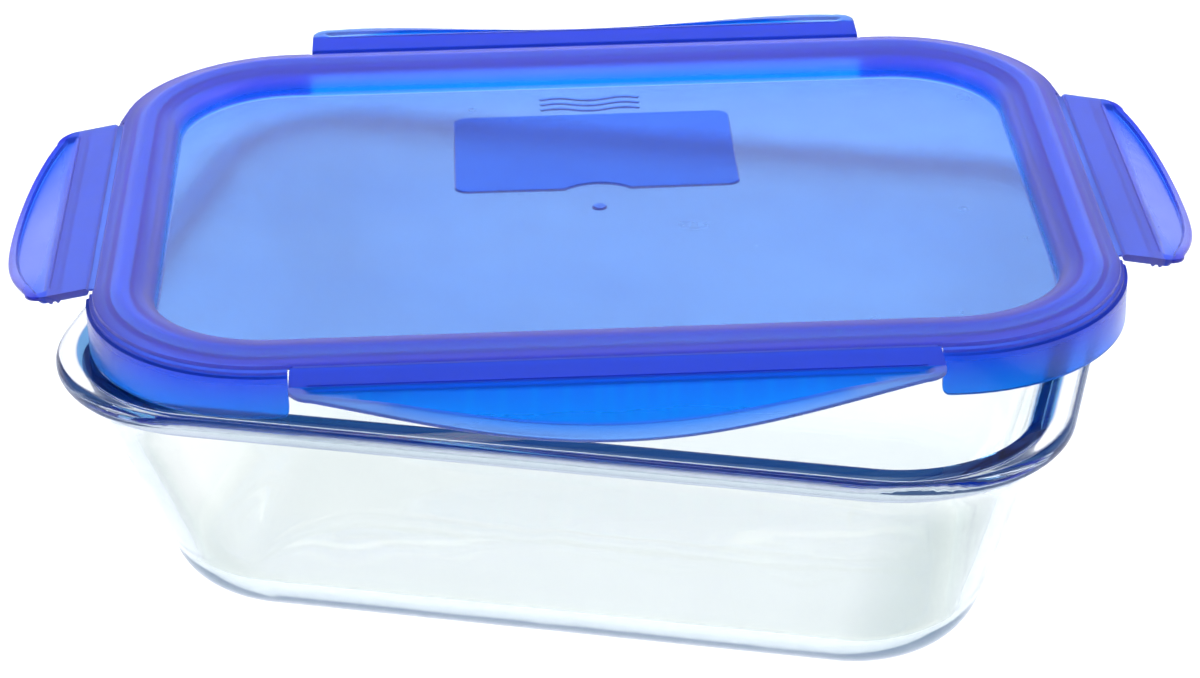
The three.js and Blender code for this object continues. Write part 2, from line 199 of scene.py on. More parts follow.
# ---- Marks on the panel ----
PAD_LENGTH = 71 * MM
PAD_WIDTH = 46 * MM
PAD_RADIUS = 3 * MM
PAD_CENTRE_Y = 34 * MM
PAD_RISE = 0.35 * MM
PAD_FILLET = 0.5 * MM
NOTCH_HALF = 8.5 * MM
NOTCH_RISE = 3.4 * MM
GATE_RADIUS = 1.6 * MM
GATE_RISE = 0.5 * MM
GATE_FILLET = 0.3 * MM
WAVE_COUNT = 3
WAVE_FIRST = 4 * MM
WAVE_PITCH = 3.4 * MM
WAVE_HALF_LENGTH = 13 * MM
WAVE_AMPLITUDE = 0.9 * MM
WAVE_HALF_WIDTH = 0.55 * MM
WAVE_TURN = 3 * math.pi
WAVE_STEPS = 36
WAVE_RISE = 0.3 * MM
WAVE_FILLET = 0.25 * MM
FILLET_PROFILE = ((0.62, 0.18), (0.3, 0.55), (0.1, 0.85), (-0.25, 1.0))  # shares of the fillet and the rise

# ---- The plastic's tint by region: deeper where the moulding is thick; the ring, the skirts' tops and the flaps are partly painted shade and light, noted at each ----
PANEL_TINT = (0.8, 0.8, 1.0)
PAD_TINT = (0.22, 0.34, 1.0)
# Ring: darker than the panel, partly for its thicker moulding and partly painted shade for the less light
# that comes up through the seal and dish rim under it.
RING_TINT = (0.55, 0.5, 1.0)
SKIRT_TINT = (0.0, 0.5, 1.0)
# Painted shade: the skirts' tops are darkened under the ring's ridge.
SKIRT_TOP_PAINTED_SHADE = (0.03, 0.13, 0.85)
WALL_TINT = (0.02, 0.5, 1.0)
WEB_TINT = (0.3, 0.38, 1.0)
# Painted light and shade on the flaps, the same plastic painted by how each flap faces the light: the long
# flaps' flat parts darker as painted shade and their borders pale as a painted reflection; the short flaps'
# flat parts lighter as painted light and their borders dark as painted shade.
LONG_FLAP_TINTS_AND_PAINTED_LIGHT = ((0.06, 0.19, 0.92), (0.01, 0.4, 1.0), (0.62, 0.72, 1.0))  # flat part, pocket, border
SHORT_FLAP_TINTS_AND_PAINTED_LIGHT = ((0.5, 0.5, 1.0), (0.1, 0.26, 1.0), (0.02, 0.05, 0.75))
PANEL_TINT_MARGIN = 0.1 * MM
MARKS_TOP = PANEL_TOP + 0.6 * MM
PAD_TINT_RISE = 0.9  # share of the pad's rise at which its tint is full
MARK_TINT_SHARE = 0.4
WALL_TINT_WIDTH = 3 * MM
WALL_TINT_TOP = PANEL_TOP + 1.5 * MM
WALL_TINT_FADE = 2.5 * MM
# Where a flap's painted light and shade change: just past its groove, and into its border.
FLAT_TINT_MARGIN = 0.2 * MM
BORDER_TINT_FADE = 0.5 * MM

# ---- The glass's tint, with painted light: a painted dark reflection in the lip, painted shade in the corners, and in the base partly the glass's own grey-green and partly painted shade ----
GLASS_TINT = (1.0, 1.0, 1.0)
LIP_PAINTED_REFLECTION = (0.02, 0.12, 0.38)
CORNER_PAINTED_SHADE = (0.76, 0.8, 0.79)
BASE_TINT_AND_SHADE = (0.84, 0.89, 0.87)
LIP_REFLECTION_RUN = 0.5 * MM
LIP_REFLECTION_BOTTOM = DISH_HEIGHT - 1.6 * LIP_RADIUS
LIP_REFLECTION_FADE = 1 * MM
CORNER_SHADE_RUN = 0.5 * BODY_RADIUS
CORNER_SHADE_TOP = DISH_HEIGHT - 2 * RIM_THICKNESS
CORNER_SHADE_FADE = 8 * MM
BASE_TINT_AND_SHADE_TOP = BASE_FILLET * 0.8
BASE_TINT_AND_SHADE_FADE = 6 * MM

# ---- Materials: scales are of noise, bumps are (strength, distance) ----
GLASS_IOR = 1.48
GLASS_COLOURS = ((0.35, (0.98, 0.95, 0.88)), (0.7, (1.0, 0.97, 0.9)))
GLASS_CLOUD_SCALE = 9
GLASS_ROUGHNESS = (0.0, 0.03)
GLASS_ROUGHNESS_SCALE = 60
GLASS_WAVES = (0.12, 0.002)
GLASS_WAVES_SCALE = 22
GLASS_SHADE = (0.96, 0.965, 0.96)
GLASS_ABSORPTION = (26, 18, 8)  # what a metre takes off red, green and blue
TRAPPED_BOUNCES = (5, 9)  # at the dish's base and at its rim
TRAPPED_GLOW_COLOURS = (  # painted light: the colour the glass glows where a ray stays trapped, by the height on the dish
    (0.0, (0.62, 0.68, 0.66)),
    (0.25, (0.55, 0.6, 0.6)),
    (0.6, (0.05, 0.14, 0.3)),
    (0.9, (0.006, 0.035, 0.13)),
)
PLASTIC_IOR = 1.49
PLASTIC_TRANSMISSION = 0.9
PLASTIC_GLOSS = 0.35
PLASTIC_GLOSS_TINT = (0.72, 0.66, 1.0, 1)
PLASTIC_COLOURS = ((0.3, (0.9, 0.92, 0.98)), (0.7, (1.0, 1.0, 1.0)))
PLASTIC_CLOUD_SCALE = 14
PLASTIC_FLOW = (1.0, 1.6, 1.0)
PLASTIC_ROUGHNESS = (0.2, 0.3)
PLASTIC_ROUGHNESS_SCALE = 90
PLASTIC_PEEL = (0.06, 0.0001)
PLASTIC_PEEL_SCALE = 900
PLASTIC_SHADE = (0.93, 0.94, 0.97)
PLASTIC_ABSORPTION = (1700, 650, 60)
HAZE = 0.16  # roughness added from the ring's foot up
HAZE_RISE = 3 * MM
SEAL_COLOURS = ((0.3, (0.84, 0.87, 0.93)), (0.7, (0.9, 0.92, 0.97)))
SEAL_CLOUD_SCALE = 40
SEAL_ROUGHNESS = (0.45, 0.6)
SEAL_ROUGHNESS_SCALE = 120
SEAL_SCATTER = 0.3
SEAL_SCATTER_REACH = 2 * MM
ABSORPTION_MARGIN = 1.02  # keeps each colour of a volume above black


def hinge_point(side):
    return Vector(HINGES[side]["pos_m"])


LID_X = Vector(HINGES["back"]["axis"])
LID_CENTRE = (hinge_point("front") + hinge_point("back")) / 2
LID_LENGTH = (hinge_point("right") - hinge_point("left")).length + 2 * HINGE_INSET
LID_WIDTH = (hinge_point("back") - hinge_point("front")).length + 2 * HINGE_INSET
LID_PLACE = Matrix.Translation(LID_CENTRE - Vector((0, 0, HINGE_HEIGHT))) @ Matrix.Rotation(
    math.atan2(LID_X.y, LID_X.x), 4, "Z"
)


# ---------------------------------------------------------------- mesh helpers


def mesh_object(name, verts, faces, place=Matrix.Identity(4)):
    mesh = bpy.data.meshes.new(name)
    mesh.from_pydata([place @ Vector(v) for v in verts], [], faces)
    mesh.validate()
    tidy_normals(mesh)
    obj = bpy.data.objects.new(name, mesh)
    bpy.context.scene.collection.objects.link(obj)
    return obj


def tidy_normals(mesh):
    """Outward faces, smooth except across sharp edges."""
    bm = bmesh.new()
    bm.from_mesh(mesh)
    bmesh.ops.remove_doubles(bm, verts=bm.verts, dist=1e-7)
    bmesh.ops.recalc_face_normals(bm, faces=bm.faces)
    bm.to_mesh(mesh)
    bm.free()
    mesh.shade_smooth()
    mesh.set_sharp_from_angle(angle=SHARP_ANGLE)


def weighted_normals(obj):
    modifier = obj.modifiers.new("normals", "WEIGHTED_NORMAL")
    modifier.weight = 100
    modifier.keep_sharp = True


def arc(centre, radius, start, end, steps):
    """Points on a circle round centre, from start to end in degrees."""
    points = []
    for step in range(steps + 1):
        angle = math.radians(start + (end - start) * step / steps)
        points.append((centre[0] + radius * math.cos(angle), centre[1] + radius * math.sin(angle)))
    return points


def blend_list(start, end, steps):
    return [start + (end - start) * step / steps for step in range(steps + 1)]


def rounded_ring(length, width, inset, radius, corner_steps=20, side_steps=10):
    """A rounded rectangle as 2-D points, counterclockwise from the right side's upper end."""
    x, y = length / 2 - inset - radius, width / 2 - inset - radius
    points = []
    for quarter, (sign_x, sign_y) in enumerate(((1, 1), (-1, 1), (-1, -1), (1, -1))):
        corner = arc((sign_x * x, sign_y * y), radius, 90 * quarter, 90 * quarter + 90, corner_steps)
        if points:
            points += between(points[-1], corner[0], side_steps)
        points += corner
    return points + between(points[-1], points[0], side_steps)


def between(start, end, steps):
    """The points between two ends, without the ends."""
    return [
        tuple(a + (b - a) * step / steps for a, b in zip(start, end)) for step in range(1, steps)
    ]


def offset_points(inset, height, profile):
    """A profile's points, from the line at an inset and the height that it starts from."""
    return [(inset + across * MM, height + up * MM) for across, up in profile]


def ring_faces(ring_count, size, wrap):
    faces = []
    for i in range(ring_count if wrap else ring_count - 1):
        n = (i + 1) % ring_count
        for j in range(size):
            k = (j + 1) % size
            faces.append((i * size + j, i * size + k, n * size + k, n * size + j))
    return faces


def loft(rings, wrap=False):
    """A solid's vertices and faces through rings of 3-D points, capped at both ends unless it wraps."""
    size = len(rings[0])
    verts = [p for ring in rings for p in ring]
    faces = ring_faces(len(rings), size, wrap)
    if not wrap:
        last = (len(rings) - 1) * size
        faces.append(tuple(range(size)))
        faces.append(tuple(range(last, last + size)))
    return verts, faces


# ---------------------------------------------------------------- glass dish


def dish_section():
    """(inset from the rim's edge, height, corner radius) from the base outside to the floor inside."""
    draft = math.degrees(WALL_DRAFT)
    rise, run, slope = math.sin(WALL_DRAFT), math.cos(WALL_DRAFT), math.tan(WALL_DRAFT)
    nose = RIM_THICKNESS / 2
    underside = DISH_HEIGHT - RIM_THICKNESS
    ground = RIM_OVERHANG + underside * slope
    base_centre = ground + BASE_FILLET * (1 - rise) / run
    floor_height = FLOOR_THICKNESS + INNER_FILLET
    floor_centre = ground + (WALL_THICKNESS + INNER_FILLET - floor_height * rise) / run
    lip_height = DISH_HEIGHT - LIP_RADIUS
    mouth = RIM_OVERHANG + WALL_THICKNESS / run + (underside - lip_height) * slope
    inner_radius = BODY_RADIUS - WALL_THICKNESS

    def with_radii(points, first, last):
        radii = blend_list(first, last, len(points) - 1)
        return [(inset, z, radius) for (inset, z), radius in zip(points, radii)]

    outer = with_radii(
        arc((base_centre, BASE_FILLET), BASE_FILLET, 270, 180 + draft, 14), BASE_RADIUS, BODY_RADIUS
    )
    wall = [
        (RIM_OVERHANG + (underside - z) * slope, z, BODY_RADIUS)
        for z in blend_list(outer[-1][1], underside - NECK_RADIUS, 10)[1:]
    ]
    neck_centre = (RIM_OVERHANG - NECK_RADIUS * NECK_TUCK, underside - NECK_RADIUS)
    neck = arc(neck_centre, NECK_RADIUS, draft, 90, 7)[1:]
    under_rim = with_radii(neck, BODY_RADIUS, RIM_RADIUS - neck_centre[0])
    rim_nose = [
        (inset, z, RIM_RADIUS - inset)
        for inset, z in arc((nose, DISH_HEIGHT - nose), nose, 270, 90, 14)
    ]
    flat = [(inset, DISH_HEIGHT) for inset in blend_list(nose, mouth - LIP_RADIUS, 10)[1:-1]]
    rim_nose += [(inset, z, RIM_RADIUS - inset) for inset, z in flat]
    lip_points = arc((mouth - LIP_RADIUS, lip_height), LIP_RADIUS, 90, draft, 8)
    lip = with_radii(lip_points, RIM_RADIUS - lip_points[0][0], inner_radius)
    inner_start = (floor_centre - INNER_FILLET * run, floor_height - INNER_FILLET * rise)
    inner_wall = [(inset, z, inner_radius) for inset, z in between(lip[-1][:2], inner_start, 8)]
    inner_fillet = with_radii(
        arc((floor_centre, floor_height), INNER_FILLET, 180 + draft, 270, 12), inner_radius, BASE_RADIUS
    )
    return outer + wall + under_rim + rim_nose + lip + inner_wall + inner_fillet


def glass_tint_and_painted_light(inset, point):
    """Painted light on clear glass: a deep-blue dark reflection painted over the walls' top edge, painted
    grey-green shade in the corners, and grey-green in the base's fillet, partly the glass's own and partly
    painted shade.
    """
    x, y, z = point
    lip = min(
        (inset - (RIM_OVERHANG - LIP_RADIUS)) / LIP_REFLECTION_RUN, (z - LIP_REFLECTION_BOTTOM) / LIP_REFLECTION_FADE
    )
    # Painted dark reflection over the lip.
    if lip > 0:
        return mix_colour(GLASS_TINT, LIP_PAINTED_REFLECTION, lip)
    # Painted shade in the corners, then the base's grey-green, partly painted shade.
    in_corner = min(
        abs(x) - (RIM_LENGTH / 2 - inset - BODY_RADIUS),
        abs(y) - (RIM_WIDTH / 2 - inset - BODY_RADIUS),
    )
    below_rim = (CORNER_SHADE_TOP - z) / CORNER_SHADE_FADE
    corner = mix_colour(GLASS_TINT, CORNER_PAINTED_SHADE, min(in_corner / CORNER_SHADE_RUN, below_rim))
    return mix_colour(corner, BASE_TINT_AND_SHADE, (BASE_TINT_AND_SHADE_TOP - z) / BASE_TINT_AND_SHADE_FADE)


def make_dish():
    section = dish_section()
    rings = [
        [(x, y, z) for x, y in rounded_ring(RIM_LENGTH, RIM_WIDTH, inset, radius)]
        for inset, z, radius in section
    ]
    verts, faces = loft(rings)
    dish = mesh_object("dish_glass", verts, faces)
    tints = [glass_tint_and_painted_light(inset, point) for ring, (inset, _, _) in zip(rings, section) for point in ring]
    store_tint(dish, tints)
    weighted_normals(dish)
    return dish


# ---------------------------------------------------------------- lid


def lid_ring(inset, z, corner_steps=24, side_steps=16):
    radius = max(LID_RADIUS - inset, LEAST_RADIUS)
    outline = rounded_ring(LID_LENGTH, LID_WIDTH, inset, radius, corner_steps, side_steps)
    return [(x, y, z) for x, y in outline]


def smooth_path(points, steps):
    """A Catmull-Rom curve through 2-D points, its ends included."""
    path = []
    padded = [points[0], *points, points[-1]]
    for i in range(1, len(padded) - 2):
        p0, p1, p2, p3 = (Vector(p) for p in padded[i - 1:i + 3])
        for step in range(steps):
            t = step / steps
            point = 0.5 * (
                2 * p1 + (p2 - p0) * t + (2 * p0 - 5 * p1 + 4 * p2 - p3) * t * t
                + (3 * p1 - p0 - 3 * p2 + p3) * t * t * t
            )
            path.append(tuple(point))
    return path + [tuple(points[-1])]


def cover_section():
    """The cover's section from the panel's edge over the ring, round the outer edge and back below."""
    ring_bottom = RING_TOP - RING_THICKNESS
    wall_foot = PANEL_INSET - PANEL_THICKNESS
    panel_bottom = PANEL_TOP - PANEL_THICKNESS
    edge_centre = EDGE_INSET + EDGE_THICKNESS / 2
    top = smooth_path(
        offset_points(PANEL_INSET, PANEL_TOP, PANEL_EDGE_PROFILE)
        + offset_points(PANEL_INSET, RING_TOP, SHOULDER_PROFILE)
        + offset_points(EDGE_INSET, EDGE_TOP, OUTER_SLOPE_PROFILE),
        4,
    )
    edge = arc((edge_centre, HINGE_HEIGHT), EDGE_THICKNESS / 2, 90, 270, 8)
    outer_rib = SEAL_OUTER_INSET - GAP
    inner_rib = SEAL_INNER_INSET + GAP
    below = [
        *offset_points(outer_rib - RIB_WIDTH, ring_bottom, OUTER_RIB_ROOT),
        (outer_rib - RIB_WIDTH, RIB_BOTTOM),
        (outer_rib, RIB_BOTTOM),
        (outer_rib, ring_bottom),
        (inner_rib, ring_bottom),
        (inner_rib, RIB_BOTTOM),
        (inner_rib + RIB_WIDTH, RIB_BOTTOM),
        *offset_points(inner_rib + RIB_WIDTH, ring_bottom, INNER_RIB_ROOT),
    ]
    wall = smooth_path(
        offset_points(wall_foot, RING_TOP, WALL_BACK_PROFILE)
        + offset_points(wall_foot, panel_bottom, WALL_FOOT_PROFILE),
        3,
    )
    return top + edge + below + wall


def pad_outline(grow=0.0):
    """The writing pad's outline: a rounded rectangle whose front edge has a shallow finger notch."""
    half_x, half_y = PAD_LENGTH / 2 + grow, PAD_WIDTH / 2 + grow
    radius = PAD_RADIUS + grow
    corners = (
        (half_x - radius, half_y - radius, 0),
        (-half_x + radius, half_y - radius, 90),
        (-half_x + radius, -half_y + radius, 180),
        (half_x - radius, -half_y + radius, 270),
    )
    notch_radius = (NOTCH_HALF ** 2 + NOTCH_RISE ** 2) / (2 * NOTCH_RISE)
    centre_y = -half_y + NOTCH_RISE - notch_radius
    spread = math.degrees(math.asin(NOTCH_HALF / notch_radius))
    points = []
    for index, (x, y, start) in enumerate(corners):
        points += arc((x, y), radius, start, start + 90, 6)
        if index == 2:
            points += arc((0, centre_y), notch_radius - grow, 90 + spread, 90 - spread, 14)
    return [(x, y + PAD_CENTRE_Y) for x, y in points]


def circle_outline(centre, radius, grow=0.0):
    return arc(centre, radius + grow, 0, 360, 24)[:-1]


def wave_outline(centre, grow=0.0):
    """A slim wavy bar, a plain mark behind the writing pad."""
    half_width = WAVE_HALF_WIDTH + grow
    upper, lower = [], []
    for step in range(WAVE_STEPS + 1):
        along = -WAVE_HALF_LENGTH + 2 * WAVE_HALF_LENGTH * step / WAVE_STEPS
        phase = WAVE_TURN * step / WAVE_STEPS
        height = WAVE_AMPLITUDE * math.sin(phase)
        slope = WAVE_AMPLITUDE * WAVE_TURN / (2 * WAVE_HALF_LENGTH) * math.cos(phase)
        size = math.hypot(1, slope)
        across = (-slope / size * half_width, half_width / size)
        upper.append((centre[0] + along + across[0], centre[1] + height + across[1]))
        lower.append((centre[0] + along - across[0], centre[1] + height - across[1]))
    return lower + upper[::-1]


class PanelTop:
    """The panel's top face: a flat sheet with low raised shapes, filled between their outlines."""

    def __init__(self, border):
        self.verts = []
        self.faces = []
        self.loops = []
        self.border = self.add_loop(border)

    def add_loop(self, points):
        start = len(self.verts)
        self.verts += [tuple(p) for p in points]
        return list(range(start, len(self.verts)))

    def raise_shape(self, outline, rise, fillet):
        """Adds a shape whose top stands rise above the panel, with a rounded edge fillet wide."""
        foot = self.add_loop([(x, y, PANEL_TOP) for x, y in outline(fillet)])
        self.loops.append(foot)
        below = foot
        for share, height in FILLET_PROFILE:
            ring = self.add_loop([(x, y, PANEL_TOP + rise * height) for x, y in outline(fillet * share)])
            self.join(below, ring)
            below = ring
        self.fill(below, [])

    def join(self, first, second):
        count = len(first)
        for i in range(count):
            j = (i + 1) % count
            self.faces.append((first[i], first[j], second[j], second[i]))

    def fill(self, border, holes):
        """Triangles between a border loop and the loops inside it."""
        used = border + [v for loop in holes for v in loop]
        flat = [Vector(self.verts[v][:2]) for v in used]
        edges, at = [], 0
        for loop in [border, *holes]:
            size = len(loop)
            edges += [(at + i, at + (i + 1) % size) for i in range(size)]
            at += size
        points, _, triangles, origins, _, _ = delaunay_2d_cdt(flat, edges, [], 1, 1e-9)
        names = [used[origin[0]] for origin in origins]
        outlines = [[self.verts[v] for v in loop] for loop in holes]
        for triangle in triangles:
            middle = sum((points[v] for v in triangle), Vector((0, 0))) / 3
            if not any(inside(middle, outline) for outline in outlines):
                self.faces.append(tuple(names[v] for v in triangle))

    def finish(self):
        self.fill(self.border, self.loops)


def inside(point, outline):
    """Whether a 2-D point is inside a closed outline."""
    within = False
    for (x1, y1, *_), (x2, y2, *_) in zip(outline, outline[1:] + outline[:1]):
        if (y1 > point.y) != (y2 > point.y) and point.x < (x2 - x1) * (point.y - y1) / (y2 - y1) + x1:
            within = not within
    return within


def cover_mesh():
    """The lid without its skirts: the ring as a loft, the panel's top with its marks, the flat below."""
    rings = [lid_ring(inset, z) for inset, z in cover_section()]
    size = len(rings[0])
    verts = [p for ring in rings for p in ring]
    faces = ring_faces(len(rings), size, False)
    faces.append(tuple(range(len(verts) - size, len(verts))))
    panel = PanelTop(rings[0])
    panel.raise_shape(pad_outline, PAD_RISE, PAD_FILLET)
    panel.raise_shape(lambda grow: circle_outline((0, 0), GATE_RADIUS, grow), GATE_RISE, GATE_FILLET)
    for line in range(WAVE_COUNT):
        centre = (0, PAD_CENTRE_Y + PAD_WIDTH / 2 + WAVE_FIRST + WAVE_PITCH * line)
        panel.raise_shape(lambda grow, c=centre: wave_outline(c, grow), WAVE_RISE, WAVE_FILLET)
    panel.finish()
    base = len(verts)
    verts += panel.verts
    faces += [tuple(base + v for v in face) for face in panel.faces]
    return mesh_object("lid_cover", verts, faces)


def skirt_section(foot):
    """The skirt's section, its lowest point at height foot, with two crisp steps up to the ring."""
    centre = (SKIRT_FOOT_RADIUS, foot + SKIRT_FOOT_RADIUS)
    steps = []
    for index, height in enumerate(STEP_HEIGHTS):
        inset = index * STEP_WIDTH
        steps += [
            (inset, height - STEP_SOFTNESS),
            (inset + STEP_SOFTNESS, height),
            (inset + STEP_WIDTH - STEP_SOFTNESS, height + STEP_SOFTNESS),
            (inset + STEP_WIDTH, height + 2 * STEP_SOFTNESS),
        ]
    return [
        *offset_points(SKIRT_THICKNESS, foot, SKIRT_FOOT_PROFILE),
        *arc(centre, SKIRT_FOOT_RADIUS, 270, 180, 4),
        *steps,
        *offset_points(2 * STEP_WIDTH, EDGE_TOP, SKIRT_HEAD_PROFILE),
        *offset_points(SKIRT_ROOT_INSET, EDGE_TOP, SKIRT_ROOT_PROFILE),
        (SKIRT_THICKNESS, SKIRT_HEIGHT),
    ]


def skirt_mesh(index):
    """One corner's skirt, swept from the window of one flap round to the window of the next."""
    sign_x, sign_y = ((1, 1), (-1, 1), (-1, -1), (1, -1))[index]
    centre = Vector((sign_x * (LID_LENGTH / 2 - LID_RADIUS), sign_y * (LID_WIDTH / 2 - LID_RADIUS)))
    on_long = LID_LENGTH / 2 - LID_RADIUS - FLAP_HALF["front"] - WINDOW_GAP
    on_short = LID_WIDTH / 2 - LID_RADIUS - FLAP_HALF["left"] - WINDOW_GAP
    before, after = (on_short, on_long) if index % 2 == 0 else (on_long, on_short)
    turn = math.pi / 2
    length = before + LID_RADIUS * turn + after
    marks = [SKIRT_END_RADIUS * (1 - math.cos(math.radians(angle))) for angle in SKIRT_END_ANGLES]
    spots = marks + blend_list(marks[-1], length - marks[-1], 40)[1:-1]
    spots += [length - mark for mark in marks[::-1]]
    rings = []
    for spot in spots:
        from_end = min(spot, length - spot, SKIRT_END_RADIUS)
        height = SKIRT_END_RADIUS ** 2 - (SKIRT_END_RADIUS - from_end) ** 2
        foot = SKIRT_END_RADIUS - math.sqrt(max(height, 0))
        along = spot - before
        angle = index * turn + min(max(along / LID_RADIUS, 0), turn)
        straight = along if along < 0 else max(along - LID_RADIUS * turn, 0)
        normal = Vector((math.cos(angle), math.sin(angle)))
        tangent = Vector((-normal.y, normal.x))
        edge = centre + normal * LID_RADIUS + tangent * straight
        rings.append([(*(edge - normal * inset), z) for inset, z in skirt_section(foot)])
    verts, faces = loft(rings)
    return mesh_object(f"skirt_{index}", verts, faces)


def unite(base, others):
    """Joins closed meshes into one solid and removes the ones joined in."""
    bpy.context.view_layer.update()
    for other in others:
        modifier = base.modifiers.new("unite", "BOOLEAN")
        modifier.operation = "UNION"
        modifier.solver = "EXACT"
        modifier.object = other
    depsgraph = bpy.context.evaluated_depsgraph_get()
    mesh = bpy.data.meshes.new_from_object(base.evaluated_get(depsgraph))
    base.modifiers.clear()
    base.data = mesh
    for other in others:
        bpy.data.objects.remove(other)


def make_lid():
    lid = cover_mesh()
    unite(lid, [skirt_mesh(index) for index in range(4)])
    lid.name = "lid_moulding"
    lid.data.transform(LID_PLACE)
    tidy_normals(lid.data)
    paint(lid, lid_tint_and_painted_shade, LID_PLACE)
    weighted_normals(lid)
    return lid


def make_seal():
    top = RING_TOP - RING_THICKNESS - GAP
    middle = (SEAL_OUTER_INSET + SEAL_INNER_INSET) / 2
    half = (SEAL_INNER_INSET - SEAL_OUTER_INSET) / 2
    foot_top = SEAL_BOTTOM + half * SEAL_ROUNDNESS
    section = [(SEAL_OUTER_INSET, top), (SEAL_OUTER_INSET, foot_top)]
    section += [
        (inset, foot_top + z * SEAL_ROUNDNESS) for inset, z in arc((middle, 0), half, 180, 360, 12)[1:-1]
    ]
    section += [(SEAL_INNER_INSET, foot_top), (SEAL_INNER_INSET, top)]
    verts, faces = loft([lid_ring(inset, z) for inset, z in section], wrap=True)
    return mesh_object("lid_seal", verts, faces, LID_PLACE)


# ---------------------------------------------------------------- flaps


def flap_place(side):
    """The flap's own frame: x along the hinge, y out from the lid, z up, at the hinge's middle."""
    along = Vector(HINGES[side]["axis"])
    up = Vector((0, 0, 1))
    out = up.cross(along)
    turn = Matrix((along, out, up)).transposed().to_4x4()
    return Matrix.Translation(hinge_point(side)) @ turn


def outline_stations(half, reach):
    """(along the hinge, depth) round a flap's free edge, from one end to the other."""
    start = half - FLAP_CORNER
    corner_reach = END_DEPTH + FLAP_CORNER
    stations = arc((start, END_DEPTH), FLAP_CORNER, 0, 90, 12)
    for step in range(1, FLAP_STATIONS + 1):
        along = start * (1 - step / FLAP_STATIONS)
        stations.append((along, reach - (reach - corner_reach) * (along / start) ** 2))
    return stations + [(-along, depth) for along, depth in stations[-2::-1]]


def tab_drop(along, depth, half):
    """How far the tab has bent down at a point, most in the flap's middle."""
    beyond = max(depth - FLAT_DEPTH, 0)
    return math.tan(TAB_BEND) * (1 - (along / half) ** 2) * beyond ** 2 / (beyond + TAB_BEND_EASE)


def flap_section(along, depth, half, border_width):
    """One cross-section of a flap: root, flat part, pocket, raised border, tip and two beads below."""
    skin = EDGE_THICKNESS / 2
    pocket = min(FLAT_DEPTH, depth - TAB_LEAST)
    space = depth - pocket
    ramp = min(POCKET_RAMP, space * RAMP_SHARE)
    step = min(BORDER_STEP, space * STEP_SHARE)
    border = min(border_width, space * BORDER_SHARE)
    rounding = min(TIP_ROUNDING, space * ROUNDING_SHARE)
    end = half - FLAP_CORNER * POCKET_END
    fade = min(max((end - abs(along)) / POCKET_FADE + 0.5, 0.0), 1.0)
    sunk = POCKET_DEPTH * max(fade, POCKET_LEAST)
    floor = skin - sunk
    groove = GROOVE_DEPTH * fade
    ramp_start = pocket + space * POCKET_LAND
    top = [(pocket + out * MM, skin - groove * share) for out, share in GROOVE_PROFILE]
    top += [(ramp_start, top[-1][1]), (ramp_start + ramp / 2, skin - sunk / 2), (ramp_start + ramp, floor)]
    top += [(depth - border + step * out, floor + sunk * share) for out, share in BORDER_STEP_PROFILE]
    hollow = 2 * skin - TAB_THICKNESS
    tip = arc((depth - rounding, skin - rounding), rounding, 90, 0, 4)
    tip += arc((depth - rounding, rounding - skin + hollow), rounding, 0, -90, 4)
    bead = BEAD_RADIUS
    if half > BEAD_TO_END:
        bead *= min(max((end - abs(along)) / BEAD_FADE, BEAD_LEAST), 1.0)
    beads = [point for centre in BEAD_DEPTHS[::-1] for point in arc((centre, -skin), bead, 360, 180, 8)]
    root = arc((HINGE_WIDTH / 2 + skin, 0), skin, 270, 90, 10)
    below = [
        (depth - border - step * HOLLOW_STEP, hollow - skin),
        (depth - border - step, -skin),
        (BEAD_DEPTHS[1] + BEAD_RADIUS + BEAD_MARGIN, -skin),
    ]
    outline = root + top + tip + below + beads
    return [(along, out, up - tab_drop(along, out, half)) for out, up in outline]


def make_flap(side):
    half, reach = FLAP_HALF[side], FLAP_REACH[side]
    stations = outline_stations(half, reach)
    rings = [flap_section(along, depth, half, FLAP_BORDER[side]) for along, depth in stations]
    verts, faces = loft(rings)
    place = flap_place(side) @ Matrix.Rotation(-FLAP_DROOP[side], 4, "X")
    flap = mesh_object("flap_" + side, verts, faces, place)
    paint(flap, flap_tint_and_painted_light(side), place)
    weighted_normals(flap)
    return flap


def make_web(side):
    """The living hinge: a thin strip that reaches a little into the lid's edge and the flap's root."""
    half = FLAP_HALF[side] - WEB_END_GAP
    reach = HINGE_WIDTH / 2 + WEB_OVERLAP
    across = blend_list(-reach, reach, 14)
    section = [(y, WEB_THICKNESS / 2) for y in across] + [(y, -WEB_THICKNESS / 2) for y in across[::-1]]
    rings = [[(x, y, z) for y, z in section] for x in blend_list(-half, half, 24)]
    verts, faces = loft(rings)
    place = flap_place(side)
    web = mesh_object("web_" + side, verts, faces, place)
    paint(web, lambda point: WEB_TINT, place)
    return web, place @ Vector((0, -HINGE_WIDTH / 2, 0)), place @ Vector((0, HINGE_WIDTH / 2, 0))


# ---------------------------------------------------------------- tint


def mix_colour(first, second, share):
    share = min(max(share, 0.0), 1.0)
    return tuple(a + (b - a) * share for a, b in zip(first, second))


def store_tint(obj, tints):
    layer = obj.data.color_attributes.new("tint", "FLOAT_COLOR", "POINT")
    for value, tint in zip(layer.data, tints):
        value.color = (*tint, 1)


def paint(obj, tint_at, place):
    """Stores the plastic's tint, with its painted light and shade, at each vertex, from its point in the
    piece's own frame.
    """
    back = place.inverted()
    store_tint(obj, [tint_at(back @ vertex.co) for vertex in obj.data.vertices])


def lid_inset(point):
    """How far a point is inside the lid's outline."""
    x = abs(point.x) - (LID_LENGTH / 2 - LID_RADIUS)
    y = abs(point.y) - (LID_WIDTH / 2 - LID_RADIUS)
    outside = math.hypot(max(x, 0), max(y, 0)) + min(max(x, y), 0)
    return LID_RADIUS - outside


def on_pad(point):
    return abs(point.x) < PAD_LENGTH / 2 and abs(point.y - PAD_CENTRE_Y) < PAD_WIDTH / 2


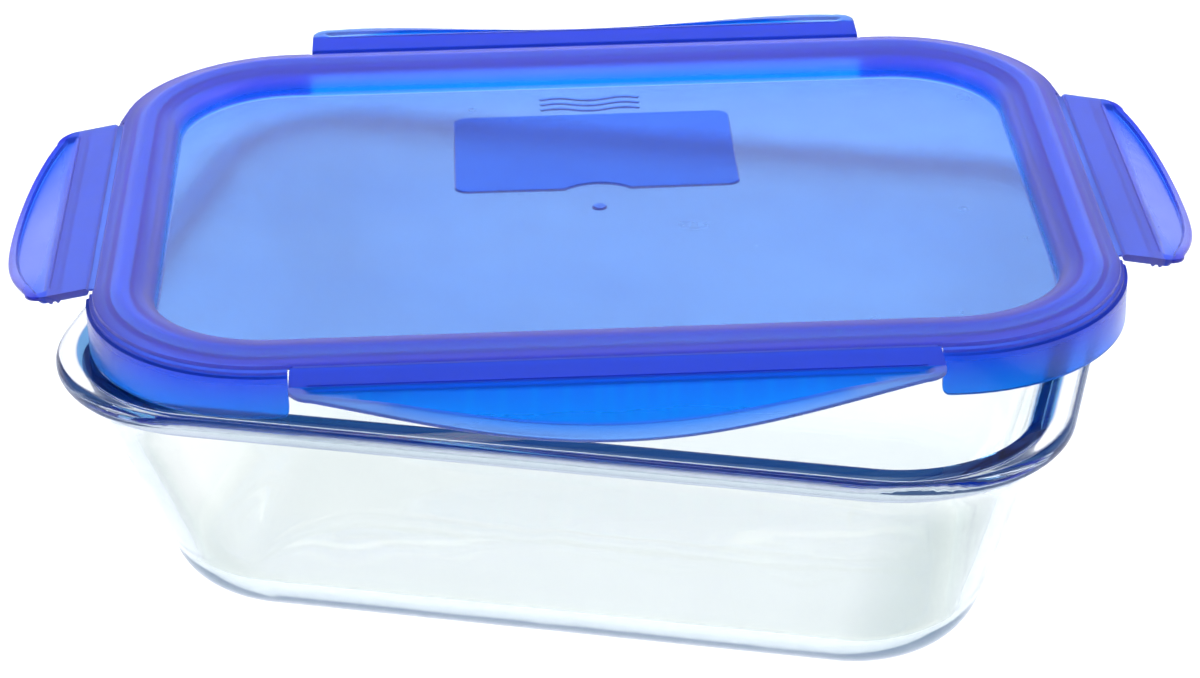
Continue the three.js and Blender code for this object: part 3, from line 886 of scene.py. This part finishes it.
def lid_tint_and_painted_shade(point):
    inset = lid_inset(point)
    if inset > PANEL_INSET - PANEL_TINT_MARGIN and point.z < MARKS_TOP:
        raised = (point.z - PANEL_TOP) / (PAD_RISE * PAD_TINT_RISE)
        return mix_colour(PANEL_TINT, PAD_TINT, raised if on_pad(point) else raised * MARK_TINT_SHARE)
    if inset > PANEL_INSET - WALL_TINT_WIDTH and point.z < RING_TOP:
        return mix_colour(WALL_TINT, RING_TINT, (point.z - WALL_TINT_TOP) / WALL_TINT_FADE)
    # Painted shade: the skirt darkens towards its top, under the ring's ridge, then blends into the ring.
    if point.z > SKIRT_HEIGHT:
        share = (point.z - SKIRT_HEIGHT) / (EDGE_TOP - SKIRT_HEIGHT)
        return mix_colour(SKIRT_TOP_PAINTED_SHADE, RING_TINT, share)
    return mix_colour(SKIRT_TINT, SKIRT_TOP_PAINTED_SHADE, (point.z / SKIRT_HEIGHT) ** 2)


# Painted light and shade on a flap: its flat part, pocket and border coloured by the flap's kind.
def flap_tint_and_painted_light(side):
    half, reach = FLAP_HALF[side], FLAP_REACH[side]
    start = half - FLAP_CORNER
    drop = reach - END_DEPTH - FLAP_CORNER
    flat, pocket, border = LONG_FLAP_TINTS_AND_PAINTED_LIGHT if side in ("front", "back") else SHORT_FLAP_TINTS_AND_PAINTED_LIGHT

    def tint(point):
        edge = reach - drop * (point.x / start) ** 2
        if point.y < FLAT_DEPTH + FLAT_TINT_MARGIN:
            return flat
        return mix_colour(pocket, border, (point.y - (edge - FLAP_BORDER[side])) / BORDER_TINT_FADE)

    return tint


# ---------------------------------------------------------------- materials


def new_material(name):
    material = bpy.data.materials.new(name)
    material.use_nodes = True
    nodes, links = material.node_tree.nodes, material.node_tree.links
    nodes.clear()
    output = nodes.new("ShaderNodeOutputMaterial")
    return material, nodes, links, output


def noise(nodes, links, scale, detail=2.0, stretch=None):
    """A noise texture in the object's own coordinates."""
    place = nodes.new("ShaderNodeTexCoord")
    texture = nodes.new("ShaderNodeTexNoise")
    texture.inputs["Scale"].default_value = scale
    texture.inputs["Detail"].default_value = detail
    if stretch is None:
        links.new(place.outputs["Object"], texture.inputs["Vector"])
    else:
        mapping = nodes.new("ShaderNodeMapping")
        mapping.inputs["Scale"].default_value = stretch
        links.new(place.outputs["Object"], mapping.inputs["Vector"])
        links.new(mapping.outputs["Vector"], texture.inputs["Vector"])
    return texture.outputs["Fac"]


def value_range(nodes, links, value, low, high, start=0.0, end=1.0, smooth=False):
    """A value that goes from low, where another is start, to high, where it is end."""
    node = nodes.new("ShaderNodeMapRange")
    if smooth:
        node.interpolation_type = "SMOOTHSTEP"
    node.inputs["From Min"].default_value = start
    node.inputs["From Max"].default_value = end
    node.inputs["To Min"].default_value = low
    node.inputs["To Max"].default_value = high
    links.new(value, node.inputs["Value"])
    return node.outputs["Result"]


def arithmetic(nodes, links, operation, first, second):
    node = nodes.new("ShaderNodeMath")
    node.operation = operation
    links.new(first, node.inputs[0])
    links.new(second, node.inputs[1])
    return node.outputs["Value"]


def mix_shaders(nodes, links, share, first, second):
    mix = nodes.new("ShaderNodeMixShader")
    links.new(share, mix.inputs["Fac"])
    links.new(first, mix.inputs[1])
    links.new(second, mix.inputs[2])
    return mix.outputs["Shader"]


def bump(nodes, links, height, strength, distance):
    node = nodes.new("ShaderNodeBump")
    node.inputs["Strength"].default_value = strength
    node.inputs["Distance"].default_value = distance
    links.new(height, node.inputs["Height"])
    return node.outputs["Normal"]


def ramp(nodes, links, value, stops):
    node = nodes.new("ShaderNodeValToRGB")
    elements = node.color_ramp.elements
    for index, (position, colour) in enumerate(stops):
        element = elements[index] if index < 2 else elements.new(position)
        element.position = position
        element.color = (*colour, 1)
    links.new(value, node.inputs["Fac"])
    return node.outputs["Color"]


def finish_clear(nodes, links, surface, shade, absorption, output):
    """Soft light passes straight through, a little shaded, and long ways inside take colour off."""
    path = nodes.new("ShaderNodeLightPath")
    soft = arithmetic(nodes, links, "MAXIMUM", path.outputs["Is Shadow Ray"], path.outputs["Is Diffuse Ray"])
    clear = nodes.new("ShaderNodeBsdfTransparent")
    clear.inputs["Color"].default_value = (*shade, 1)
    links.new(mix_shaders(nodes, links, soft, surface, clear.outputs["BSDF"]), output.inputs["Surface"])
    density = max(absorption) * ABSORPTION_MARGIN
    volume = nodes.new("ShaderNodeVolumeAbsorption")
    volume.inputs["Density"].default_value = density
    volume.inputs["Color"].default_value = (*(1 - value / density for value in absorption), 1)
    links.new(volume.outputs["Volume"], output.inputs["Volume"])


def glow_after(nodes, links, surface, bounces, colour):
    """Painted light: a ray still trapped in the glass after so many bounces ends in a glowing colour, not in
    black.
    """
    path = nodes.new("ShaderNodeLightPath")
    late = arithmetic(nodes, links, "GREATER_THAN", path.outputs["Ray Depth"], bounces)
    glow = nodes.new("ShaderNodeEmission")
    links.new(colour, glow.inputs["Color"])
    return mix_shaders(nodes, links, late, surface, glow.outputs["Emission"])


def tinted(nodes, links, colour):
    """A colour times the tint stored at the vertices."""
    tint = nodes.new("ShaderNodeVertexColor")
    tint.layer_name = "tint"
    mix = nodes.new("ShaderNodeMix")
    mix.data_type = "RGBA"
    mix.blend_type = "MULTIPLY"
    mix.inputs["Factor"].default_value = 1.0
    links.new(tint.outputs["Color"], mix.inputs["A"])
    links.new(colour, mix.inputs["B"])
    return mix.outputs["Result"]


def height_share(nodes, links, low, high):
    """How far a point is from one height, 0, to another, 1."""
    place = nodes.new("ShaderNodeTexCoord")
    split = nodes.new("ShaderNodeSeparateXYZ")
    links.new(place.outputs["Object"], split.inputs["Vector"])
    return value_range(nodes, links, split.outputs["Z"], 0.0, 1.0, low, high)


def glass_material():
    """Clear pressed glass: faint waves, a trace of grey-green in its thickness, and deep blue in its rim,
    painted there as a dark reflection and as a dark glow where rays are trapped.
    """
    material, nodes, links, output = new_material("pressed_glass")
    shader = nodes.new("ShaderNodeBsdfPrincipled")
    shader.inputs["Transmission Weight"].default_value = 1.0
    shader.inputs["IOR"].default_value = GLASS_IOR
    colour = ramp(nodes, links, noise(nodes, links, GLASS_CLOUD_SCALE), GLASS_COLOURS)
    links.new(tinted(nodes, links, colour), shader.inputs["Base Color"])
    roughness = value_range(nodes, links, noise(nodes, links, GLASS_ROUGHNESS_SCALE), *GLASS_ROUGHNESS)
    links.new(roughness, shader.inputs["Roughness"])
    waves = noise(nodes, links, GLASS_WAVES_SCALE)
    links.new(bump(nodes, links, waves, *GLASS_WAVES), shader.inputs["Normal"])
    height = height_share(nodes, links, 0.0, DISH_HEIGHT)
    # Painted light: the glow of trapped rays.
    trapped = ramp(nodes, links, height, TRAPPED_GLOW_COLOURS)
    bounces = value_range(nodes, links, height, *TRAPPED_BOUNCES)
    surface = glow_after(nodes, links, shader.outputs["BSDF"], bounces, trapped)
    finish_clear(nodes, links, surface, GLASS_SHADE, GLASS_ABSORPTION, output)
    return material


def plastic_material():
    """Translucent polypropylene, clouded by flow, with a soft gloss; the stored tint, with its painted light
    and shade, makes it blue.
    """
    material, nodes, links, output = new_material("lid_plastic")
    shader = nodes.new("ShaderNodeBsdfPrincipled")
    shader.inputs["Transmission Weight"].default_value = PLASTIC_TRANSMISSION
    shader.inputs["IOR"].default_value = PLASTIC_IOR
    shader.inputs["Specular Tint"].default_value = PLASTIC_GLOSS_TINT
    shader.inputs["Specular IOR Level"].default_value = PLASTIC_GLOSS
    cloud = noise(nodes, links, PLASTIC_CLOUD_SCALE, 3.0, PLASTIC_FLOW)
    colour = tinted(nodes, links, ramp(nodes, links, cloud, PLASTIC_COLOURS))
    links.new(colour, shader.inputs["Base Color"])
    grain = noise(nodes, links, PLASTIC_ROUGHNESS_SCALE, 3.0)
    roughness = value_range(nodes, links, grain, *PLASTIC_ROUGHNESS)
    ring_foot = LID_CENTRE.z - HINGE_HEIGHT + WALL_TINT_TOP
    haze = value_range(nodes, links, height_share(nodes, links, ring_foot, ring_foot + HAZE_RISE), 0.0, HAZE)
    links.new(arithmetic(nodes, links, "ADD", roughness, haze), shader.inputs["Roughness"])
    peel = noise(nodes, links, PLASTIC_PEEL_SCALE)
    links.new(bump(nodes, links, peel, *PLASTIC_PEEL), shader.inputs["Normal"])
    finish_clear(nodes, links, shader.outputs["BSDF"], PLASTIC_SHADE, PLASTIC_ABSORPTION, output)
    return material


def seal_material():
    """Soft pale silicone."""
    material, nodes, links, output = new_material("silicone")
    shader = nodes.new("ShaderNodeBsdfPrincipled")
    shader.inputs["Subsurface Weight"].default_value = SEAL_SCATTER
    shader.inputs["Subsurface Scale"].default_value = SEAL_SCATTER_REACH
    colour = ramp(nodes, links, noise(nodes, links, SEAL_CLOUD_SCALE), SEAL_COLOURS)
    links.new(colour, shader.inputs["Base Color"])
    roughness = value_range(nodes, links, noise(nodes, links, SEAL_ROUGHNESS_SCALE), *SEAL_ROUGHNESS)
    links.new(roughness, shader.inputs["Roughness"])
    links.new(shader.outputs["BSDF"], output.inputs["Surface"])
    return material


def floor_material():
    """Pale and matt; far from the object it is seen as pale as the backdrop, past the lamps' reach."""
    material, nodes, links, output = new_material("studio_floor")
    shader = nodes.new("ShaderNodeBsdfPrincipled")
    shader.inputs["Roughness"].default_value = FLOOR_ROUGHNESS
    colour = ramp(nodes, links, noise(nodes, links, FLOOR_CLOUD_SCALE), FLOOR_COLOURS)
    links.new(colour, shader.inputs["Base Color"])
    place = nodes.new("ShaderNodeTexCoord")
    distance = nodes.new("ShaderNodeVectorMath")
    distance.operation = "LENGTH"
    links.new(place.outputs["Object"], distance.inputs[0])
    far = value_range(nodes, links, distance.outputs["Value"], 0.0, 1.0, *FAR_FLOOR, smooth=True)
    path = nodes.new("ShaderNodeLightPath")
    seen = arithmetic(nodes, links, "MULTIPLY", far, path.outputs["Is Camera Ray"])
    glow = nodes.new("ShaderNodeEmission")
    glow.inputs["Color"].default_value = BACKDROP_COLOUR
    surface = mix_shaders(nodes, links, seen, shader.outputs["BSDF"], glow.outputs["Emission"])
    links.new(surface, output.inputs["Surface"])
    return material


def dress(obj, material):
    """Gives a piece its material and slot. It casts no shadow, as in a studio lit from all round."""
    obj.data.materials.clear()
    obj.data.materials.append(material)
    obj.visible_shadow = False
    obj.visible_diffuse = False


# ---------------------------------------------------------------- studio


def camera_axes():
    back = Vector((
        math.sin(CAMERA_AZIMUTH) * math.cos(CAMERA_ELEVATION),
        -math.cos(CAMERA_AZIMUTH) * math.cos(CAMERA_ELEVATION),
        math.sin(CAMERA_ELEVATION),
    ))
    right = Vector((0, 0, 1)).cross(back).normalized()
    up = back.cross(right)
    tilt = Matrix.Rotation(CAMERA_ROLL, 3, back)
    return tilt @ right, tilt @ up, back


def make_camera():
    right, up, back = camera_axes()
    data = bpy.data.cameras.new("camera")
    data.lens = CAMERA_LENS
    data.sensor_width = CAMERA_SENSOR
    camera = bpy.data.objects.new("camera", data)
    bpy.context.scene.collection.objects.link(camera)
    camera.matrix_world = (
        Matrix.Translation(CAMERA_TARGET + back * CAMERA_DISTANCE)
        @ Matrix((right, up, back)).transposed().to_4x4()
    )
    bpy.context.scene.camera = camera


def softbox(name, place, aim, size, power, mirrored):
    """A rectangular lamp; one that isn't mirrored lights surfaces without showing in their gloss."""
    data = bpy.data.lights.new(name, "AREA")
    data.shape = "RECTANGLE"
    data.size, data.size_y = size
    data.energy = power
    light = bpy.data.objects.new(name, data)
    light.location = place
    light.rotation_euler = (Vector(aim) - Vector(place)).to_track_quat("-Z", "Y").to_euler()
    light.visible_glossy = mirrored
    light.visible_transmission = mirrored
    bpy.context.scene.collection.objects.link(light)


def make_world():
    """A plain pale backdrop. Its light is bright and low behind, dimmer in front, and dim overhead."""
    world = bpy.data.worlds.new("studio")
    world.use_nodes = True
    nodes, links = world.node_tree.nodes, world.node_tree.links
    background = nodes["Background"]
    place = nodes.new("ShaderNodeTexCoord")
    split = nodes.new("ShaderNodeSeparateXYZ")
    links.new(place.outputs["Generated"], split.inputs["Vector"])
    links.new(ramp(nodes, links, split.outputs["Z"], SKY_COLOURS), background.inputs["Color"])
    strength = value_range(nodes, links, split.outputs["Y"], *SKY_STRENGTHS, *SKY_FRONT_TO_BACK, smooth=True)
    links.new(strength, background.inputs["Strength"])
    plain = nodes.new("ShaderNodeBackground")
    plain.inputs["Color"].default_value = BACKDROP_COLOUR
    path = nodes.new("ShaderNodeLightPath")
    seen = path.outputs["Is Camera Ray"]
    surface = mix_shaders(nodes, links, seen, background.outputs["Background"], plain.outputs["Background"])
    links.new(surface, nodes["World Output"].inputs["Surface"])
    bpy.context.scene.world = world


def make_studio():
    corners = [(-1, -1), (1, -1), (1, 1), (-1, 1)]
    floor = mesh_object("floor", [(x * FLOOR_HALF, y * FLOOR_HALF, 0) for x, y in corners], [(0, 1, 2, 3)])
    floor.location.z = -FLOOR_DROP
    floor.data.materials.append(floor_material())
    make_world()
    for lamp in LAMPS:
        softbox(*lamp)
    scene = bpy.context.scene
    scene.view_settings.view_transform = "Standard"
    scene.cycles.max_bounces = 16
    scene.cycles.transmission_bounces = 16
    scene.cycles.glossy_bounces = 8
    scene.cycles.transparent_max_bounces = 24
    scene.cycles.caustics_reflective = False
    scene.cycles.caustics_refractive = False


# ---------------------------------------------------------------- assembly


def main():
    make_camera()
    make_studio()
    glass = glass_material()
    plastic = plastic_material()

    dish = make_dish()
    dress(dish, glass)
    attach(dish, "dish")
    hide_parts("glass_dish")

    lid = make_lid()
    dress(lid, plastic)
    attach(lid, "lid")
    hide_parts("lid")

    seal = make_seal()
    dress(seal, seal_material())
    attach(seal, "lid")
    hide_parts("seal")

    for side in HINGES:
        flap = make_flap(side)
        dress(flap, plastic)
        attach(flap, "flap_" + side)
        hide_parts("latch_" + side)
        web, start, end = make_web(side)
        dress(web, plastic)
        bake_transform(web)
        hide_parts("hinge_web_" + side)


main()
